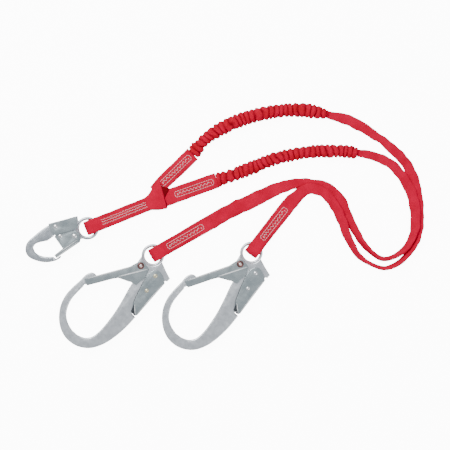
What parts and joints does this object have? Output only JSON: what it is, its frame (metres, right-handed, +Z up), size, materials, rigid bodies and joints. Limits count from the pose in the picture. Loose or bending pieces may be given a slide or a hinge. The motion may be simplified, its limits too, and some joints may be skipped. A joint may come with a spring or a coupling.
{
  "type": "shock absorbing lanyard",
  "caption": "Red webbing fall-arrest lanyard laid flat: a snap hook, a sewn Y, and a gathered shock-absorbing leg to each large rebar hook.",
  "frame": {"origin": "on the surface that the lanyard lies on, under the middle of everything but the two free runs of webbing", "axes": "+X from the snap hook towards the far bend of the legs, +Y towards the upper leg and away from the rebar hooks, +Z up from the surface"},
  "size_m": [0.7179, 0.4444, 0.0212],
  "materials": {
    "red_webbing": "woven polyester webbing with a slight sheen",
    "red_sleeve": "gathered woven sleeve",
    "tear_webbing": "undyed tear webbing",
    "elastic": "knitted elastic band",
    "forged_steel": "satin zinc plate on forged steel",
    "sheet_steel": "satin zinc plate on pressed sheet",
    "rivet_brass": "dull yellow plate",
    "spring_steel": "dark spring wire"
  },
  "bodies": {
    "webbing": {"main_strap": "red_webbing", "y_sleeve": "red_webbing", "leg_a_lead": "red_webbing", "leg_a_absorber_sleeve": "red_sleeve", "leg_a_absorber_core": "tear_webbing", "leg_a_elastic_band": "elastic", "leg_a_webbing": "red_webbing", "leg_a_eye_loop": "red_webbing", "leg_b_lead": "red_webbing", "leg_b_absorber_sleeve": "red_sleeve", "leg_b_absorber_core": "tear_webbing", "leg_b_elastic_band": "elastic", "leg_b_webbing": "red_webbing", "leg_b_eye_loop": "red_webbing"},
    "snap_hook": {"snap_hook_body": "forged_steel", "snap_hook_gate_rivet": "forged_steel", "snap_hook_lock_rivet": "forged_steel", "snap_hook_gate_spring": "spring_steel", "snap_hook_lock_spring": "spring_steel"},
    "snap_hook_gate_group": {"snap_hook_gate": "sheet_steel", "snap_hook_gate_pin": "forged_steel"},
    "snap_hook_lock_group": {"snap_hook_lock": "sheet_steel"},
    "rebar_hook_a": {"rebar_hook_a_body": "forged_steel", "rebar_hook_a_gate_rivet": "rivet_brass", "rebar_hook_a_lock_rivet": "forged_steel", "rebar_hook_a_gate_spring": "spring_steel", "rebar_hook_a_lock_spring": "spring_steel"},
    "rebar_hook_a_gate_group": {"rebar_hook_a_gate": "sheet_steel"},
    "rebar_hook_a_lock_group": {"rebar_hook_a_lock": "sheet_steel", "rebar_hook_a_lock_pin": "forged_steel"},
    "rebar_hook_b": {"rebar_hook_b_body": "forged_steel", "rebar_hook_b_gate_rivet": "rivet_brass", "rebar_hook_b_lock_rivet": "forged_steel", "rebar_hook_b_gate_spring": "spring_steel", "rebar_hook_b_lock_spring": "spring_steel"},
    "rebar_hook_b_gate_group": {"rebar_hook_b_gate": "sheet_steel"},
    "rebar_hook_b_lock_group": {"rebar_hook_b_lock": "sheet_steel", "rebar_hook_b_lock_pin": "forged_steel"}
  },
  "joints": [
    {"name": "snap_hook_swing", "type": "hinge", "parent": "webbing", "child": "snap_hook", "pos_m": [-0.17354, 0.00232, 0.0106], "axis": [-0.3746, 0.9272, 0], "range_deg": [0, 90]},
    {"name": "snap_hook_gate", "type": "hinge", "parent": "snap_hook", "child": "snap_hook_gate_group", "pos_m": [-0.20976, -0.01695, 0.0106], "axis": [0, 0, -1], "range_deg": [0, 23], "stiffness_Nm_per_rad": 0.4, "springref_deg": -28.65},
    {"name": "snap_hook_lock", "type": "hinge", "parent": "snap_hook", "child": "snap_hook_lock_group", "pos_m": [-0.24343, 0.00018, 0.0106], "axis": [0, 0, -1], "range_deg": [0, 5], "stiffness_Nm_per_rad": 1, "springref_deg": -11.46},
    {"name": "rebar_hook_a_swing", "type": "hinge", "parent": "webbing", "child": "rebar_hook_a", "pos_m": [-0.05662, -0.04478, 0.0106], "axis": [-0.5, 0.866, 0], "range_deg": [0, 90]},
    {"name": "rebar_hook_a_gate", "type": "hinge", "parent": "rebar_hook_a", "child": "rebar_hook_a_gate_group", "pos_m": [-0.09048, -0.07049, 0.0106], "axis": [0, 0, 1], "range_deg": [0, 32], "stiffness_Nm_per_rad": 0.4, "springref_deg": -28.65},
    {"name": "rebar_hook_a_lock", "type": "hinge", "parent": "rebar_hook_a", "child": "rebar_hook_a_lock_group", "pos_m": [-0.06419, -0.08871, 0.0106], "axis": [0, 0, -1], "range_deg": [0, 5], "stiffness_Nm_per_rad": 1, "springref_deg": -11.46},
    {"name": "rebar_hook_b_swing", "type": "hinge", "parent": "webbing", "child": "rebar_hook_b", "pos_m": [0.11687, -0.03613, 0.0106], "axis": [-0.788, 0.6157, 0], "range_deg": [0, 90]},
    {"name": "rebar_hook_b_gate", "type": "hinge", "parent": "rebar_hook_b", "child": "rebar_hook_b_gate_group", "pos_m": [0.08796, -0.06743, 0.0106], "axis": [0, 0, 1], "range_deg": [0, 32], "stiffness_Nm_per_rad": 0.4, "springref_deg": -28.65},
    {"name": "rebar_hook_b_lock", "type": "hinge", "parent": "rebar_hook_b", "child": "rebar_hook_b_lock_group", "pos_m": [0.11546, -0.08377, 0.0106], "axis": [0, 0, -1], "range_deg": [0, 5], "stiffness_Nm_per_rad": 1, "springref_deg": -11.46}
  ]
}
